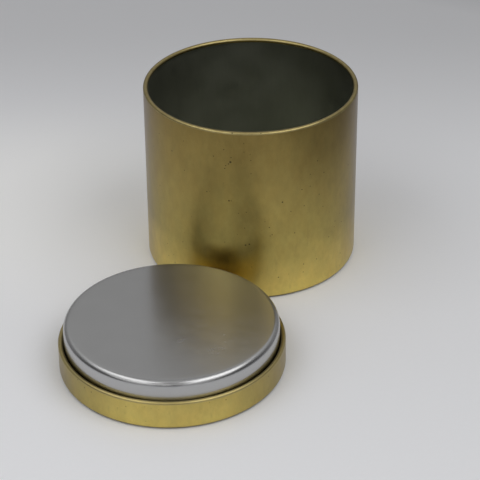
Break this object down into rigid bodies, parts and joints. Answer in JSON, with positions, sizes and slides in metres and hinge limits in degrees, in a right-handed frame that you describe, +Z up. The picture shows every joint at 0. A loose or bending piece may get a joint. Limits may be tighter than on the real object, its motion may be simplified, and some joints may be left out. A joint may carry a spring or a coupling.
{
  "type": "round cookie tin with push-in lid",
  "caption": "Round drawn tinplate cookie tin, gold-lacquered outside and bare inside, with its push-in plug lid lying face down beside it.",
  "frame": {"origin": "centre of the can's flat base, on the surface that the tin stands on", "axes": "+Z up along the can's axis; the lid lies on the -Y side, a little towards -X"},
  "size_m": [0.1358, 0.1992, 0.0874],
  "materials": {
    "gold_lacquer": "clear gold lacquer over tinplate, satin gloss, with small dark specks and light scuffs",
    "bare_tinplate": "bare rolled tinplate, satin, with fine rolling grain"
  },
  "bodies": {
    "can": {"can_body": "gold_lacquer"},
    "lid": {"lid_cap": "gold_lacquer", "lid_plug": "bare_tinplate"}
  },
  "joints": [
    {"name": "lid_turn_over", "type": "hinge", "parent": "can", "child": "lid", "pos_m": [-0.0179, -0.0496, 0.0556], "axis": [-0.9406, 0.3395, 0], "range_deg": [0, 180]}
  ]
}
